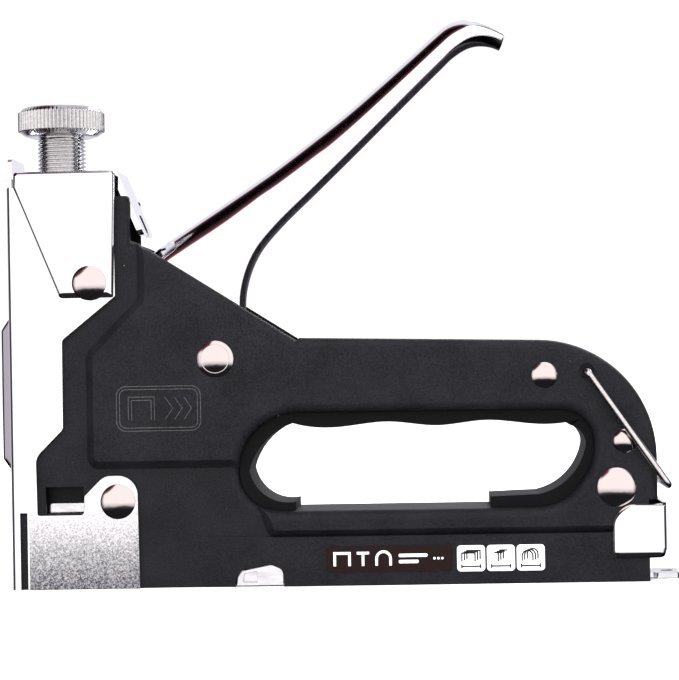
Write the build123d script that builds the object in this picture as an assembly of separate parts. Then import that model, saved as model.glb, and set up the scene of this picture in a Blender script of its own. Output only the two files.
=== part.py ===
from build123d import *
import math
import os

# Hand staple gun (three-in-one tacker). Lengths are in millimetres.
# X runs from the nose to the tail, Z is up, and Y = 0 is the plane between the two body shells.
# Places are measured from the nose's front face and from the base. The finished model is moved
# so that the origin is the centre of its outer box at the base.

# ---- overall shape of the body, side view ----
BODY_LENGTH = 156.0          # nose face to the lower end of the shells
TAIL_BULGE = 2.3             # the arch above the rear latch stands this far behind the lower end
HEAD_TOP = 96.3              # top edge of the shells in the head
HEAD_DEPTH = 30.3            # nose face to the rear edge of the head
SHOULDER_HEIGHT = 84.4
GRIP_START = 71.2            # where the slope meets the grip
GRIP_FRONT_HEIGHT = 60.3
GRIP_REAR_HEIGHT = 58.4
ARCH_RADIUS = 29.0
LATCH_LEDGE = 19.9           # the arch ends here, above the rear latch

# ---- widths and sheet thicknesses ----
PANEL_HALF = 12.8            # half width over the raised panel
PANEL_STEP = 2.0             # the panel stands this far above the sunken front
STRIP_STEP = 0.35            # and this far above the strip along the base
FRONT_HALF = PANEL_HALF - PANEL_STEP
STRIP_HALF = PANEL_HALF - STRIP_STEP
STRIP_TOP = 12.0             # crease between the strip and the panel
PANEL_HEAD_EDGE = 32.0       # the panel's step: up the head, down a slant, down the front, along
PANEL_FRONT_EDGE = 19.0
PANEL_CORNER_TOP = 71.0
PANEL_CORNER_LOW = 57.6
PANEL_LOW_EDGE = 29.2
SHELL_WALL = 1.4
SHELL_BEND = 2.0             # outer bend radius of the shells
HEAD_BEND = 1.2              # bend radius down the rear edge of the head
RIM_BEND = 2.3               # bend radius round the finger hole
NOSE_SHEET = 1.0
CAP_SHEET = 1.2
LATCH_SHEET = 1.0
MAGAZINE_SHEET = 1.3
FIT_GAP = 0.05               # between pieces that are clamped together
RUN_GAP = 0.05               # radial clearance of a running pin
FREE_GAP = 0.3               # between faces that pass each other
LIFT_GAP = 0.1               # play between the lifting roller and the plunger
SHELL_START = NOSE_SHEET + FREE_GAP

# ---- finger hole ----
HOLE_FRONT = 56.3
HOLE_REAR = 143.2
HOLE_BOTTOM = 18.3
HOLE_TOP = 42.4
LINER_THICKNESS = 2.7
LINER_HALF = 9.6
FINGER_PITCH = 24.4
FINGER_DEPTH = 1.1

# ---- head: nose cover, cap and adjusting screw ----
CAP_TOP = 102.5
CAP_REAR = 27.2
CAP_WING_BOTTOM = 71.2
NOSE_TOP = 98.6
TAB_TOP = 106.2
TAB_HALF = 8.5
TONGUE_HALF = 4.0
TONGUE_REACH = 1.9
RIB_DEPTH = 3.0
RIB_HALF = 5.5
RIB_BOTTOM = 27.5
RIB_TOP = 68.2
RIB_SLOPE = 4.4
NOSE_FOOT_REAR = 31.6
NOSE_FOOT_TOP = 18.1
FLAP_HALF = 8.9
FLAP_DROP = 15.6
FLAP_RUN = 6.4
SCREW_X = 12.1
THREAD_RADIUS = 6.0
SCREW_CLEARANCE = 0.05
KNOB_RADIUS = 10.75
KNOB_BOTTOM = 111.9
KNOB_HEIGHT = 7.4
KNOB_CHAMFER = 1.3
NUT_RADIUS = 8.0
NUT_HEIGHT = 4.6

# ---- spring, plunger and lever ----
SPRING_WIRE = 2.0
SPRING_OUTER = 12.0
SPRING_TURNS = 5
SEAT_TOP = 93.5
SEAT_THICKNESS = 4.0
PLUNGER_PLATE = 3.6
PLUNGER_REAR = 25.4
PLUNGER_HALF = 8.4
BLADE_THICKNESS = 1.2
BLADE_HALF = 5.6
PIVOT = (51.05, 55.8)
PIVOT_RADIUS = 3.5
LEVER_HALF = 10.2
LEVER_SHEET = 1.2
LEVER_BEND = 3.2
LEVER_SWING = 38.0           # degrees from rest to fully squeezed
STROKE = 18.0                # plunger travel for the full swing
ROLLER_RADIUS = 3.5
ROLLER_HALF = 2.5
LIFTER_PIN_RADIUS = 2.0
LIFTER_HALF = 5.0

# ---- magazine ----
CHANNEL_HALF = 7.4
CHANNEL_SHEET = 1.0
EAR_TOP = 20.8
KEEPER_TOP = 26.0
CHANNEL_HEIGHT = 16.6
STAPLE_GAP = 1.5             # slot for one staple in front of the rail
RAIL_HALF = 4.8
RAIL_WALL = 1.0
RAIL_TOP = 15.0
ROD_HEIGHT = 9.8
ROD_RADIUS = 2.0
FEED_SPRING_WIRE = 0.7
FEED_SPRING_TURNS = 20
TAIL_TONGUE = 164.3          # nose face to the end of the tail tongue

# ---- locking bail ----
BAIL_PIVOT = (141.5, 51.3)
BAIL_LENGTH = 33.8
BAIL_REST = -55.5            # direction of the legs at rest, degrees from +X
BAIL_WIRE = 0.9              # wire radius
BAIL_HALF = 14.6

# ---- rivets: place (X, Z), dome radius, dome height ----
RIVET_SHANK = 2.0
HEAD_RIVET = (20.5, 74.9)
NOSE_RIVET = (26.5, 21.3)
REAR_TOP_RIVET = (131.2, 50.5)
REAR_MID_RIVET = (150.4, 34.2)
REAR_LOW_RIVET = (148.3, 23.0)

PLACE = Pos(-(TAIL_TONGUE - RIB_DEPTH) / 2, 0, 0)
STAPLE_SLOT_REAR = NOSE_SHEET + STAPLE_GAP
CAP_UNDER = CAP_TOP - CAP_SHEET
NOSE_HALF = FRONT_HALF + FIT_GAP + NOSE_SHEET
CAP_HALF = NOSE_HALF + FIT_GAP + CAP_SHEET
ARM_LENGTH = STROKE / (2 * math.sin(math.radians(LEVER_SWING / 2)))
ROLLER_PLACE = (
    PIVOT[0] - ARM_LENGTH * math.cos(math.radians(LEVER_SWING / 2)),
    PIVOT[1] - STROKE / 2,
)
PLUNGER_BOTTOM = ROLLER_PLACE[1] + ROLLER_RADIUS + LIFT_GAP
PLUNGER_TOP = PLUNGER_BOTTOM + PLUNGER_PLATE


def outline(*corners):
    """A closed face from (across, up, corner radius) points."""
    points = [(across, up) for across, up, _ in corners]
    radii = [radius for _, _, radius in corners]
    return make_face(FilletPolyline(*points, radius=radii, close=True))


def slab(face, low, high):
    """Extrude a side-view face from Y = low to Y = high."""
    return extrude(Plane.XZ.offset(-high) * face, high - low, dir=(0, -1, 0))


def block(x, y, z):
    """A box from its (low, high) spans."""
    size = [span[1] - span[0] for span in (x, y, z)]
    middle = [(span[0] + span[1]) / 2 for span in (x, y, z)]
    return Pos(*middle) * Box(*size)


def cross_pin(place, radius, low, high):
    """A cylinder along Y at a side-view place."""
    return slab(Pos(*place) * Circle(radius), low, high)


def upright(place_x, radius, low, high):
    """A cylinder along Z on the centre plane."""
    return Pos(place_x, 0, (low + high) / 2) * Cylinder(radius, high - low)


def both_sides(piece):
    return piece + mirror(piece, about=Plane.XZ)


def save(name, *solids):
    """Move the solids to the model's origin and write one STEP file."""
    placed = [PLACE * solid for solid in solids]
    shape = placed[0] if len(placed) == 1 else Compound(children=placed)
    export_step(shape, f"parts/{name}.step")


# ------------------------------------------------------------------ body shells

def silhouette():
    """Side view of both shells."""
    arch_rear = BODY_LENGTH + TAIL_BULGE
    return outline(
        (SHELL_START, 0, 0),
        (BODY_LENGTH, 0, 0.6),
        (BODY_LENGTH, LATCH_LEDGE, 0),
        (arch_rear, LATCH_LEDGE, 0),
        (arch_rear, GRIP_REAR_HEIGHT, ARCH_RADIUS),
        (GRIP_START + 0.4, GRIP_FRONT_HEIGHT + 0.3, 0.4),
        (GRIP_START - 0.4, GRIP_FRONT_HEIGHT - 0.3, 0.3),
        (HEAD_DEPTH + 5.6, SHOULDER_HEIGHT - 2.1, 1.2),
        (HEAD_DEPTH + 2.0, SHOULDER_HEIGHT - 0.2, 1.0),
        (HEAD_DEPTH, SHOULDER_HEIGHT, 0),
        (HEAD_DEPTH, HEAD_TOP, 1.0),
        (SHELL_START, HEAD_TOP, 0),
    )


def finger_hole():
    return outline(
        (HOLE_FRONT, HOLE_TOP, 14.2),
        (HOLE_REAR + 0.2, HOLE_TOP - 0.4, 8.0),
        (HOLE_REAR - 0.2, HOLE_BOTTOM + 10.7, 12.0),
        (HOLE_REAR - 7.7, HOLE_BOTTOM, 12.0),
        (HOLE_FRONT, HOLE_BOTTOM, 9.6),
    )


def panel_region():
    """Foot of the raised panel. It runs past the silhouette where there is no step."""
    far = 12.0
    return outline(
        (PANEL_HEAD_EDGE, SHOULDER_HEIGHT + far, 0),
        (PANEL_HEAD_EDGE, PANEL_CORNER_TOP, 1.0),
        (PANEL_FRONT_EDGE, PANEL_CORNER_LOW, 2.8),
        (PANEL_FRONT_EDGE, PANEL_LOW_EDGE, 3.2),
        (HOLE_FRONT + 1.5, PANEL_LOW_EDGE, 0),
        (HOLE_FRONT + 7.0, STRIP_TOP - 0.3, 3.2),
        (BODY_LENGTH + far, STRIP_TOP - 0.3, 0),
        (BODY_LENGTH + far, SHOULDER_HEIGHT + far, 0),
    )


def bent_slab(half):
    """The silhouette with the finger hole, its outer edges bent as pressed sheet is."""
    solid = slab(silhouette() - finger_hole(), -half, 0)
    face = solid.faces().filter_by(lambda f: abs(f.center().Y + half) < 0.01 and f.area > 100)[0]
    rim = face.inner_wires()[0].edges()
    solid = fillet(rim, RIM_BEND)
    top_edges = solid.edges().filter_by(
        lambda e: abs(e.center().Y + half) < 0.01
        and e.center().Z > LATCH_LEDGE + 2
        and (e.center().X > GRIP_START or e.center().Z > e.center().X * -0.7 + 100)
        and not (HOLE_FRONT < e.center().X < HOLE_REAR and e.center().Z < HOLE_TOP + 6)
        and e.center().X > HEAD_DEPTH + 3
    )
    solid = fillet(top_edges, SHELL_BEND)
    head_edge = solid.edges().filter_by(
        lambda e: abs(e.center().X - HEAD_DEPTH) < 0.01 and abs(e.center().Y + half) < 0.01
    )
    return fillet(head_edge, HEAD_BEND)


WEDGE_START = 44.0           # the base strip widens from the sunken front between these
WEDGE_END = 70.0


def shell_outside():
    base = bent_slab(FRONT_HALF)
    panel = slab(panel_region(), -PANEL_HALF, 0)
    step_edges = panel.edges().filter_by(lambda e: abs(e.center().Y + PANEL_HALF) < 0.01)
    panel = chamfer(step_edges, PANEL_STEP - 0.02)
    raised = bent_slab(PANEL_HALF) & panel
    wedge_plan = Polygon(
        (WEDGE_START, 0),
        (WEDGE_START, -FRONT_HALF),
        (WEDGE_END, -STRIP_HALF),
        (BODY_LENGTH, -STRIP_HALF),
        (BODY_LENGTH, 0),
        align=None,
    )
    strip = extrude(wedge_plan, STRIP_TOP, dir=(0, 0, 1))
    return base + raised + strip


def shell_cavity():
    inside = offset(silhouette(), amount=-SHELL_WALL, kind=Kind.INTERSECTION)
    ring = offset(finger_hole(), amount=SHELL_WALL)
    shallow = slab(inside - ring, -(FRONT_HALF - SHELL_WALL), 0)
    step_room = PANEL_STEP + 0.4
    deep_face = (inside & offset(panel_region(), amount=-step_room, kind=Kind.INTERSECTION)) - ring
    deep = slab(deep_face, -(PANEL_HALF - SHELL_WALL), 0)
    strip = block(
        (WEDGE_END + 2, BODY_LENGTH - SHELL_WALL),
        (-(STRIP_HALF - SHELL_WALL), 0),
        (SHELL_WALL, STRIP_TOP),
    )
    return shallow + deep + strip


def notch_face(grow):
    """Clearance cut-out at the base where the magazine lug shows."""
    return outline(
        (54.8 - grow, -1, 0),
        (55.3 - grow, 2.4, 1.0),
        (56.8, 4.1 + grow, 0.8),
        (63.8, 5.5 + grow, 1.4),
        (66.9 + grow, 4.0, 1.6),
        (67.0 + grow, -1, 0),
    )


def body_shell(window_depth):
    """Left half, on the -Y side. Its window shows the magazine."""
    head_inside = FRONT_HALF - SHELL_WALL
    slot_half = LEVER_HALF + FREE_GAP + 0.2
    open_front = block((0, SHELL_START + SHELL_WALL + 1), (-head_inside, 0), (-1, HEAD_TOP + 1))
    flap_bottom = CAP_TOP - FLAP_DROP
    open_top = block(
        (SHELL_START + SHELL_WALL, HEAD_DEPTH + 1),
        (-head_inside, 0),
        (flap_bottom - 1.6, HEAD_TOP + 1),
    )
    slot_side = Polygon(
        (33.0, 74), (33.0, 90), (39, 90), (78, 64), (74, 57.5), (60, 57.5), align=None
    )
    lever_slot = slab(slot_side, -slot_half, 0)
    magazine_slot = block(
        (0, BODY_LENGTH + 1), (-CHANNEL_HALF - FIT_GAP, 0), (-1, CHANNEL_HEIGHT + FIT_GAP)
    )
    window = block((8.6, 18.0), (-window_depth, 0), (NOSE_FOOT_TOP + 0.3, 25.0))
    shell = shell_outside() - shell_cavity()
    shell -= [open_front, open_top, lever_slot, magazine_slot, window]
    shell -= slab(notch_face(0), -PANEL_HALF - 1, 0)
    for place in (HEAD_RIVET, NOSE_RIVET, REAR_TOP_RIVET, REAR_MID_RIVET, REAR_LOW_RIVET):
        shell -= cross_pin(place, RIVET_SHANK + FIT_GAP, -PANEL_HALF - 1, 0)
    shell -= cross_pin(PIVOT, PIVOT_RADIUS + FIT_GAP, -PANEL_HALF - 1, 0)
    shell -= cross_pin(BAIL_PIVOT, BAIL_WIRE + RUN_GAP, -PANEL_HALF - 1, 0)
    shell -= cross_pin(BAIL_PIVOT, 2 * BAIL_WIRE, -PANEL_HALF - 1, -PANEL_HALF + 0.7)
    return shell


def grip_liner():
    """Moulded insert with finger bumps, open along the bottom of the hole."""
    outer = offset(finger_hole(), amount=-FIT_GAP)
    inner_top = HOLE_TOP - LINER_THICKNESS
    left = HOLE_FRONT + LINER_THICKNESS
    right = HOLE_REAR - LINER_THICKNESS + 0.6
    bumps = []
    for index in range(7):
        across = 69.5 + index * FINGER_PITCH / 2 - 0.4 * index
        bumps.append((across, inner_top - (FINGER_DEPTH if index % 2 else 0)))
    top = Spline(*bumps)
    start = top @ 0
    end = top @ 1
    opening = make_face(
        [
            top,
            Line(end, (right - 3.6, inner_top - 1.6)),
            ThreePointArc((right - 3.6, inner_top - 1.6), (right - 0.7, 36.0), (right, 33.2)),
            ThreePointArc((right, 33.2), (right - 3.6, 25.9), (129.5, HOLE_BOTTOM + LINER_THICKNESS + 0.4)),
            Line((129.5, HOLE_BOTTOM + LINER_THICKNESS + 0.4), (117.7, HOLE_BOTTOM + LINER_THICKNESS)),
            Line((117.7, HOLE_BOTTOM + LINER_THICKNESS), (117.7, HOLE_BOTTOM - 1)),
            Line((117.7, HOLE_BOTTOM - 1), (70.0, HOLE_BOTTOM - 1)),
            Line((70.0, HOLE_BOTTOM - 1), (70.0, HOLE_BOTTOM + 2.2)),
            ThreePointArc((70.0, HOLE_BOTTOM + 2.2), (61.6, 22.9), (left - 0.3, 28.3)),
            ThreePointArc((left - 0.3, 28.3), (62.6, 35.3), start),
        ]
    )
    liner = slab(outer - opening, -LINER_HALF, LINER_HALF)
    return liner


# ------------------------------------------------------------------ head

def nose_wing():
    """Side view of one wing of the nose cover."""
    return outline(
        (0, 0, 0),
        (NOSE_FOOT_REAR, 0, 0),
        (NOSE_FOOT_REAR - 0.3, 27.6, 4.8),
        (23.2, 27.6, 4.0),
        (18.3, 22.7, 0.8),
        (18.2, NOSE_FOOT_TOP, 1.0),
        (6.7, NOSE_FOOT_TOP, 0.6),
        (6.5, 32.4, 4.0),
        (13.3, 39.2, 1.6),
        (13.4, 61.0, 1.6),
        (26.6, 71.6, 0.5),
        (26.6, NOSE_TOP, 0),
        (0, NOSE_TOP, 0),
    )


def nose_cover():
    """Chromed sheet wrapped round the front of both shells."""
    bend = 2.0
    wrap = slab(nose_wing(), -NOSE_HALF, NOSE_HALF)
    corners = wrap.edges().filter_by(Axis.Z).filter_by(lambda e: abs(e.center().X) < 0.01)
    wrap = fillet(corners, bend)
    wrap -= block((NOSE_SHEET, 40), (-FRONT_HALF - FIT_GAP, FRONT_HALF + FIT_GAP), (-1, NOSE_TOP + 1))
    tab_face = Pos(0, (NOSE_TOP + TAB_TOP) / 2 - 0.5) * RectangleRounded(
        2 * TAB_HALF, TAB_TOP - NOSE_TOP + 1, 2.0
    )
    tab = extrude(Plane.YZ * tab_face, NOSE_SHEET)
    tab -= block(
        (-1, NOSE_SHEET + 1),
        (-TONGUE_HALF - FIT_GAP, TONGUE_HALF + FIT_GAP),
        (CAP_UNDER - FIT_GAP, CAP_TOP + FIT_GAP),
    )
    rib_side = outline(
        (0, RIB_BOTTOM, 0),
        (-RIB_DEPTH, RIB_BOTTOM + RIB_SLOPE, 1.5),
        (-RIB_DEPTH, RIB_TOP - RIB_SLOPE, 1.5),
        (0, RIB_TOP, 0),
        (NOSE_SHEET, RIB_TOP, 0),
        (NOSE_SHEET, RIB_BOTTOM, 0),
    )
    rib = slab(rib_side, -RIB_HALF, RIB_HALF)
    long_edges = rib.edges().filter_by(Axis.Z).filter_by(lambda e: e.center().X < -RIB_DEPTH + 0.1)
    rib = fillet(long_edges, 1.2)
    hollow_side = outline(
        (NOSE_SHEET + 1, RIB_BOTTOM + 1.6, 0),
        (NOSE_SHEET, RIB_BOTTOM + 1.6, 0),
        (-RIB_DEPTH + NOSE_SHEET, RIB_BOTTOM + RIB_SLOPE + 0.8, 0),
        (-RIB_DEPTH + NOSE_SHEET, RIB_TOP - RIB_SLOPE - 0.8, 0),
        (NOSE_SHEET, RIB_TOP - 1.6, 0),
        (NOSE_SHEET + 1, RIB_TOP - 1.6, 0),
    )
    hollow = slab(hollow_side, -RIB_HALF + NOSE_SHEET, RIB_HALF - NOSE_SHEET)
    cover = wrap + tab + rib
    cover -= hollow
    slit = block((2.4, 4.2), (-NOSE_HALF - 1, NOSE_HALF + 1), (-1, 18.8))
    cover -= slit
    for place in (HEAD_RIVET, NOSE_RIVET):
        cover -= cross_pin(place, RIVET_SHANK + FIT_GAP, -NOSE_HALF - 1, NOSE_HALF + 1)
    return cover


def head_cap():
    """Chromed bracket over the head, with a front tongue and a rear flap."""
    front = 2.0
    side = outline(
        (front, CAP_TOP, 0.8),
        (front - 0.2, 98.6, 1.2),
        (12.9, CAP_WING_BOTTOM, 1.4),
        (CAP_REAR - 0.8, CAP_WING_BOTTOM, 0.6),
        (CAP_REAR, CAP_TOP, 1.0),
    )
    cap = slab(side, -CAP_HALF, CAP_HALF)
    corners = cap.edges().filter_by(Axis.X).filter_by(lambda e: e.center().Z > CAP_TOP - 0.1)
    cap = fillet(corners, 1.7)
    inside = CAP_HALF - CAP_SHEET
    cap -= block((0, 40), (-inside, inside), (60, CAP_UNDER))
    tongue = block((-TONGUE_REACH, front + 3), (-TONGUE_HALF, TONGUE_HALF), (CAP_UNDER, CAP_TOP))
    lean = math.atan2(FLAP_RUN, FLAP_DROP)
    sheet_x = CAP_SHEET / math.cos(lean)
    flap_side = Polygon(
        (CAP_REAR - 1.6, CAP_TOP),
        (CAP_REAR, CAP_TOP),
        (CAP_REAR + FLAP_RUN, CAP_TOP - FLAP_DROP),
        (CAP_REAR + FLAP_RUN - sheet_x, CAP_TOP - FLAP_DROP - 0.3),
        (CAP_REAR - sheet_x, CAP_UNDER),
        align=None,
    )
    flap = slab(flap_side, -FLAP_HALF, FLAP_HALF)
    flap -= slab(
        Polygon((29.0, 92.0), (36.0, 92.0), (36.0, 80.0), (29.0, 80.0), align=None), -2.2, 2.2
    )
    low = CAP_TOP - FLAP_DROP + 0.5
    tips = flap.edges().filter_by(lambda e: e.center().Z < low and abs(e.center().Y) > 8)
    flap = fillet(tips.filter_by(lambda e: e.length < 2), 1.6)
    cap = cap + tongue + flap
    cap -= upright(SCREW_X, THREAD_RADIUS + 0.1, CAP_UNDER - 1, CAP_TOP + 1)
    cap -= cross_pin(HEAD_RIVET, RIVET_SHANK + FIT_GAP, -CAP_HALF - 1, CAP_HALF + 1)
    return cap


def cap_nut():
    top = CAP_UNDER - FIT_GAP
    nut = upright(SCREW_X, NUT_RADIUS, top - NUT_HEIGHT, top)
    return nut - upright(SCREW_X, THREAD_RADIUS, top - NUT_HEIGHT - 1, top + 1)


def adjuster_screw():
    """Knurled knob on a fine-threaded shaft, its thread drawn plain."""
    knob_top = KNOB_BOTTOM + KNOB_HEIGHT
    knob = upright(SCREW_X, KNOB_RADIUS, KNOB_BOTTOM, knob_top)
    knob = chamfer(knob.edges().filter_by(GeomType.CIRCLE), KNOB_CHAMFER)
    shaft = upright(SCREW_X, THREAD_RADIUS - SCREW_CLEARANCE, SEAT_TOP + FIT_GAP, KNOB_BOTTOM + 1)
    return knob + shaft


def spring_seat():
    bottom = SEAT_TOP - SEAT_THICKNESS
    disc = upright(SCREW_X, SPRING_OUTER / 2 + 0.4, bottom, SEAT_TOP)
    return disc + upright(SCREW_X, SPRING_OUTER / 2 - SPRING_WIRE - 0.4, bottom - 5, bottom)


def coil(mean_radius, wire, turns, length):
    """A round-wire compression spring that starts at the origin and runs along +Z."""
    rise = length - wire
    path = Helix(pitch=rise / turns, height=rise, radius=mean_radius)
    start = path @ 0
    section = Plane(origin=start, z_dir=path % 0) * Circle(wire / 2)
    return Pos(0, 0, wire / 2) * sweep(section, path=path, is_frenet=True)


def main_spring():
    bottom = PLUNGER_TOP + 2 * FIT_GAP
    top = SEAT_TOP - SEAT_THICKNESS - 2 * FIT_GAP
    spring = coil((SPRING_OUTER - SPRING_WIRE) / 2, SPRING_WIRE, SPRING_TURNS, top - bottom)
    return Pos(SCREW_X, 0, bottom) * spring


# ------------------------------------------------------------------ striker

LEG_BOTTOM = 30.0
LUG_BOTTOM = 40.0
LUG_TOP = 44.0
LUG_HALF = 2.5
BLADE_FRONT = NOSE_SHEET + 0.15
BLADE_REAR = BLADE_FRONT + BLADE_THICKNESS


def plunger():
    """Carrier under the main spring, lifted by the roller."""
    front = BLADE_REAR + FIT_GAP
    plate = block((front, PLUNGER_REAR), (-PLUNGER_HALF, PLUNGER_HALF), (PLUNGER_BOTTOM, PLUNGER_TOP))
    leg = block((front, front + 2.6), (-BLADE_HALF, BLADE_HALF), (LEG_BOTTOM, PLUNGER_BOTTOM + 1))
    lug = block((BLADE_FRONT, front + 1), (-LUG_HALF, LUG_HALF), (LUG_BOTTOM, LUG_TOP))
    spigot = upright(SCREW_X, SPRING_OUTER / 2 - SPRING_WIRE - 0.4, PLUNGER_TOP - 1, PLUNGER_TOP + 6)
    return plate + leg + lug + spigot


def striker_blade():
    blade = block((BLADE_FRONT, BLADE_REAR), (-BLADE_HALF, BLADE_HALF), (0.4, 48.0))
    window = block(
        (0, 10),
        (-LUG_HALF - FIT_GAP, LUG_HALF + FIT_GAP),
        (LUG_BOTTOM - FIT_GAP, LUG_TOP + FIT_GAP),
    )
    return blade - window


def front_guide_plate():
    front = BLADE_REAR + FREE_GAP
    half = FRONT_HALF - SHELL_WALL - FIT_GAP
    return block((front, front + 1.5), (-half, half), (CHANNEL_HEIGHT + 0.6, LEG_BOTTOM - 2.0))


def rail_keeper():
    """Block between the channel's ears that holds the staples down at the nose."""
    half = CHANNEL_HALF - CHANNEL_SHEET - FIT_GAP
    keeper = block((5.2, 22.4), (-half, half), (CHANNEL_HEIGHT, KEEPER_TOP))
    top_edges = keeper.edges().filter_by(Axis.Y).filter_by(lambda e: e.center().Z > KEEPER_TOP - 0.1)
    return chamfer(top_edges, 1.0)


def plunger_bumper():
    half = FRONT_HALF - SHELL_WALL - FIT_GAP
    pad = block((6.0, 18.0), (-half, half), (PLUNGER_BOTTOM - 10.0, PLUNGER_BOTTOM - FIT_GAP))
    return fillet(pad.edges().filter_by(Axis.Y), 1.0)


# ------------------------------------------------------------------ lever

def lever_side():
    """Side view of the lever's channel."""
    return outline(
        (35.2, 82.6, 0),
        (38.0, 84.8, 8.0),
        (66.0, 103.1, 120.0),
        (84.0, 116.6, 120.0),
        (100.0, 130.2, 60.0),
        (113.3, 141.3, 11.0),
        (123.7, 135.2, 0),
        (122.3, 132.7, 0.6),
        (117.0, 133.9, 4.0),
        (109.0, 129.8, 8.0),
        (57.3, 79.9, 26.0),
        (55.2, 68.0, 0),
        (PIVOT[0] + 6, PIVOT[1] + 2, 0),
        (PIVOT[0] - 6, PIVOT[1] - 4, 0),
        (37.0, 72.0, 3.0),
    )


def lever():
    """Bent-sheet handle: a web and two flanges that reach down to the pivot."""
    hub = Pos(*PIVOT) * Circle(9.0)
    side = lever_side()
    body = slab(side + hub, -LEVER_HALF, LEVER_HALF)
    web_edges = body.edges().filter_by(
        lambda e: abs(abs(e.center().Y) - LEVER_HALF) < 0.01
        and e.center().Z > 84.8
        and (e.center().Z > e.center().X * 0.78 + 47.5 or e.center().X > 112 and e.center().Z > 135)
    )
    body = fillet(web_edges, LEVER_BEND)
    inside = LEVER_HALF - LEVER_SHEET
    shrunk = offset(side, amount=-LEVER_SHEET, kind=Kind.INTERSECTION)
    hollow = slab(shrunk, -inside, inside)
    drop = 2.2 * LEVER_SHEET
    hollow += Pos(0.62 * drop, 0, -0.79 * drop) * hollow
    mouth_side = Polygon(
        (20, 30), (20, 76), (35.6, 81.6), (60, 81.6), (66, 60), (66, 30), align=None
    )
    mouth = slab(mouth_side, -inside, inside)
    body -= hollow
    body -= mouth
    body -= cross_pin(PIVOT, PIVOT_RADIUS + RUN_GAP, -20, 20)
    for place in drive_places():
        body -= cross_pin(place, 1.2 + FIT_GAP, -20, 20)
    return body


def drive_places():
    """Rivets that tie the lifter to the lever, on a circle round the pivot."""
    radius = 6.0
    places = []
    for angle in (20, 200):
        turn = math.radians(angle)
        places.append((PIVOT[0] + radius * math.cos(turn), PIVOT[1] + radius * math.sin(turn)))
    return places


def lifter():
    """Forged arm between the lever's flanges that carries the roller."""
    hub_half = LEVER_HALF - LEVER_SHEET - FIT_GAP
    hub = cross_pin(PIVOT, 8.0, -hub_half, hub_half)
    arm_face = make_hull([(Pos(*PIVOT) * Circle(5.0)).edge(), (Pos(*ROLLER_PLACE) * Circle(2.6)).edge()])
    arm = hub + slab(arm_face, -LIFTER_HALF, LIFTER_HALF)
    fork = ROLLER_HALF + 0.1
    gap_end = ROLLER_PLACE[0] + ROLLER_RADIUS + 1.0
    arm -= block((gap_end - 12, gap_end), (-fork, fork), (30, 70))
    arm -= cross_pin(PIVOT, PIVOT_RADIUS + RUN_GAP, -20, 20)
    arm -= cross_pin(ROLLER_PLACE, LIFTER_PIN_RADIUS + 0.02, -20, 20)
    for place in drive_places():
        arm -= cross_pin(place, 1.2 + FIT_GAP, -20, 20)
    return arm


def lifter_rivets():
    reach = LEVER_HALF + 0.5
    pins = []
    for place in drive_places():
        pin = cross_pin(place, 1.2, -reach, reach)
        for side in (-1, 1):
            low, high = sorted((side * LEVER_HALF, side * reach))
            pin += cross_pin(place, 1.9, low, high)
        pins.append(pin)
    return pins


def lifter_pin():
    return cross_pin(ROLLER_PLACE, LIFTER_PIN_RADIUS, -LIFTER_HALF, LIFTER_HALF)


def lifter_roller():
    roller = cross_pin(ROLLER_PLACE, ROLLER_RADIUS, -ROLLER_HALF, ROLLER_HALF)
    return roller - cross_pin(ROLLER_PLACE, LIFTER_PIN_RADIUS + RUN_GAP, -20, 20)


# ------------------------------------------------------------------ rivets

def dome(place, radius, height, half):
    """A spherical cap that sits on the plane Y = -half."""
    ball_radius = (radius**2 + height**2) / (2 * height)
    ball = Pos(place[0], -half - height + ball_radius, place[1]) * Sphere(ball_radius)
    return ball & cross_pin(place, radius + 1, -half - height - 1, -half)


def rivet(place, radius, height, half, shank=RIVET_SHANK):
    head = both_sides(dome(place, radius, height, half + FIT_GAP / 2))
    return head + cross_pin(place, shank, -half - height / 2, half + height / 2)


def spacer_tubes():
    tubes = []
    for place, half in (
        (NOSE_RIVET, FRONT_HALF),
        (REAR_TOP_RIVET, PANEL_HALF),
        (REAR_MID_RIVET, PANEL_HALF),
        (REAR_LOW_RIVET, PANEL_HALF),
    ):
        reach = half - SHELL_WALL - FIT_GAP
        tube = cross_pin(place, 3.0, -reach, reach)
        tubes.append(tube - cross_pin(place, RIVET_SHANK + FIT_GAP, -20, 20))
    return tubes


# ------------------------------------------------------------------ magazine

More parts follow.
